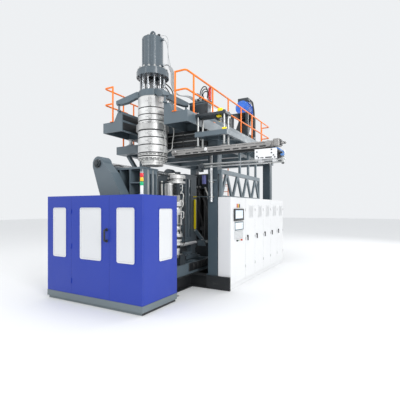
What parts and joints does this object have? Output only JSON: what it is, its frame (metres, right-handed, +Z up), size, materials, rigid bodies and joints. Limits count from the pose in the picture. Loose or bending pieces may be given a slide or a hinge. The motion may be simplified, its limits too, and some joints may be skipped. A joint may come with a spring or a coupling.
{
  "type": "blow moulding machine",
  "caption": "Accumulator-head extrusion blow moulding machine for large drums, with a diagonal tie-bar clamp, raised extruder platform, guard and control cabinets.",
  "frame": {"origin": "on the floor directly below the vertical axis of the die head, at the machine's foot", "axes": "+Z up along the head axis, -Y towards the guarded operator front, +X towards the side with the control cabinets; the clamp opens and closes along Y"},
  "size_m": [4.735, 7.574, 6.0738],
  "materials": {
    "frame_black": "satin",
    "machine_grey": "satin",
    "dark_grey": "satin",
    "platen_grey": "satin",
    "head_steel": "brushed",
    "rod_steel": "polished",
    "band_steel": "satin",
    "motor_blue": "satin",
    "guard_blue": "satin",
    "rail_orange": "gloss",
    "cabinet_white": "satin",
    "light_metal": "satin",
    "truss_grey": "satin",
    "red_paint": "gloss",
    "red_plastic": "gloss",
    "black_plastic": "matte",
    "lens_plastic": "gloss",
    "clear_pane": "clear"
  },
  "bodies": {
    "machine": {"base_frame": "frame_black", "clamp_bed": "machine_grey", "columns": "machine_grey", "ring_frame": "machine_grey", "platform_frame": "machine_grey", "head_spider": "machine_grey", "head_barrel": "head_steel", "heater_bands": "band_steel", "die_ring": "head_steel", "head_tie_rods": "dark_grey", "head_cylinder": "machine_grey", "extruder_barrel": "head_steel", "gearbox": "dark_grey", "drive_motor": "motor_blue", "belt_guard": "dark_grey", "hopper": "band_steel", "servo_manifold": "dark_grey", "gas_bottle": "red_paint", "railing_right": "rail_orange", "railing_left": "rail_orange", "walkway_right": "machine_grey", "robot_hanger": "cabinet_white", "robot_beam": "light_metal", "blow_base": "dark_grey", "guard_frame": "dark_grey", "guard_panels": "guard_blue", "guard_windows": "clear_pane", "stack_light": "lens_plastic", "cabinets": "cabinet_white", "truss": "truss_grey", "hydraulic_unit": "dark_grey"},
    "front_mould_platen": {"front_platen": "platen_grey", "clamp_rod": "rod_steel"},
    "clamp_yoke": {"rear_platen": "platen_grey", "outer_platen": "machine_grey", "tie_bars": "rod_steel", "clamp_cylinder": "platen_grey"},
    "core": {"die_core": "rod_steel"},
    "ram": {"head_ram": "rod_steel"},
    "screw": {"extruder_screw": "rod_steel"},
    "pin_left": {"blow_pin_left": "head_steel"},
    "pin_right": {"blow_pin_right": "head_steel"},
    "carriage": {"take_out_carriage": "cabinet_white"},
    "front_jaw": {"jaw_front": "dark_grey"},
    "rear_jaw": {"jaw_rear": "dark_grey"},
    "gate": {"guard_door": "guard_blue", "door_window": "clear_pane"},
    "stop_button": {"e_stop": "red_plastic"},
    "mode_switch": {"selector": "black_plastic"},
    "door1": {"door_1": "cabinet_white"},
    "door2": {"door_2": "cabinet_white"},
    "latch2": {"handle_2": "black_plastic"},
    "door3": {"door_3": "cabinet_white"},
    "latch3": {"handle_3": "black_plastic"},
    "door4": {"door_4": "cabinet_white"},
    "latch4": {"handle_4": "black_plastic"},
    "door5": {"door_5": "cabinet_white"},
    "latch5": {"handle_5": "black_plastic"},
    "door6": {"door_6": "cabinet_white"},
    "latch6": {"handle_6": "black_plastic"}
  },
  "joints": [
    {"name": "front_platen_slide", "type": "slide", "parent": "machine", "child": "front_mould_platen", "axis": [0, 1, 0], "range_m": [0, 0.22]},
    {"name": "clamp_yoke_slide", "type": "slide", "parent": "machine", "child": "clamp_yoke", "axis": [0, -1, 0], "range_m": [0, 0.22]},
    {"name": "core_slide", "type": "slide", "parent": "machine", "child": "core", "axis": [0, 0, -1], "range_m": [0, 0.025]},
    {"name": "ram_slide", "type": "slide", "parent": "machine", "child": "ram", "axis": [0, 0, -1], "range_m": [0, 0.24]},
    {"name": "screw_turn", "type": "hinge", "parent": "machine", "child": "screw", "pos_m": [0, 1.5, 4.35], "axis": [0, 1, 0], "continuous": true},
    {"name": "pin_left_slide", "type": "slide", "parent": "machine", "child": "pin_left", "axis": [1, 0, 0], "range_m": [0, 0.19]},
    {"name": "pin_right_slide", "type": "slide", "parent": "machine", "child": "pin_right", "axis": [-1, 0, 0], "range_m": [0, 0.19]},
    {"name": "take_out_slide", "type": "slide", "parent": "machine", "child": "carriage", "axis": [-1, 0, 0], "range_m": [0, 1.25]},
    {"name": "front_jaw_slide", "type": "slide", "parent": "carriage", "child": "front_jaw", "axis": [0, 1, 0], "range_m": [0, 0.04]},
    {"name": "rear_jaw_slide", "type": "slide", "parent": "carriage", "child": "rear_jaw", "axis": [0, -1, 0], "range_m": [0, 0.04]},
    {"name": "gate_hinge", "type": "hinge", "parent": "machine", "child": "gate", "pos_m": [-0.53, -1.911, 1.1], "axis": [0, 0, -1], "range_deg": [0, 105]},
    {"name": "stop_press", "type": "slide", "parent": "door1", "child": "stop_button", "axis": [-1, 0, 0], "range_m": [0, 0.006], "stiffness_N_per_m": 800},
    {"name": "mode_turn", "type": "hinge", "parent": "door1", "child": "mode_switch", "pos_m": [1.856, 0.74, 1.088], "axis": [1, 0, 0], "range_deg": [0, 90]},
    {"name": "door1_hinge", "type": "hinge", "parent": "machine", "child": "door1", "pos_m": [1.857, 1.289, 1.1], "axis": [0, 0, 1], "range_deg": [0, 90]},
    {"name": "door2_hinge", "type": "hinge", "parent": "machine", "child": "door2", "pos_m": [1.857, 1.971, 1.1], "axis": [0, 0, 1], "range_deg": [0, 90]},
    {"name": "latch2_turn", "type": "hinge", "parent": "door2", "child": "latch2", "pos_m": [1.856, 1.422, 1.15], "axis": [1, 0, 0], "range_deg": [0, 90]},
    {"name": "door3_hinge", "type": "hinge", "parent": "machine", "child": "door3", "pos_m": [1.857, 2.653, 1.1], "axis": [0, 0, 1], "range_deg": [0, 90]},
    {"name": "latch3_turn", "type": "hinge", "parent": "door3", "child": "latch3", "pos_m": [1.856, 2.104, 1.15], "axis": [1, 0, 0], "range_deg": [0, 90]},
    {"name": "door4_hinge", "type": "hinge", "parent": "machine", "child": "door4", "pos_m": [1.857, 3.335, 1.1], "axis": [0, 0, 1], "range_deg": [0, 90]},
    {"name": "latch4_turn", "type": "hinge", "parent": "door4", "child": "latch4", "pos_m": [1.856, 2.786, 1.15], "axis": [1, 0, 0], "range_deg": [0, 90]},
    {"name": "door5_hinge", "type": "hinge", "parent": "machine", "child": "door5", "pos_m": [1.857, 4.017, 1.1], "axis": [0, 0, 1], "range_deg": [0, 90]},
    {"name": "latch5_turn", "type": "hinge", "parent": "door5", "child": "latch5", "pos_m": [1.856, 3.468, 1.15], "axis": [1, 0, 0], "range_deg": [0, 90]},
    {"name": "door6_hinge", "type": "hinge", "parent": "machine", "child": "door6", "pos_m": [1.857, 4.699, 1.1], "axis": [0, 0, 1], "range_deg": [0, 90]},
    {"name": "latch6_turn", "type": "hinge", "parent": "door6", "child": "latch6", "pos_m": [1.856, 4.15, 1.15], "axis": [1, 0, 0], "range_deg": [0, 90]}
  ],
  "couplings": [
    {"joint": "front_platen_slide", "follows": "clamp_yoke_slide", "ratio": 1},
    {"joint": "pin_left_slide", "follows": "pin_right_slide", "ratio": 1},
    {"joint": "rear_jaw_slide", "follows": "front_jaw_slide", "ratio": 1}
  ]
}
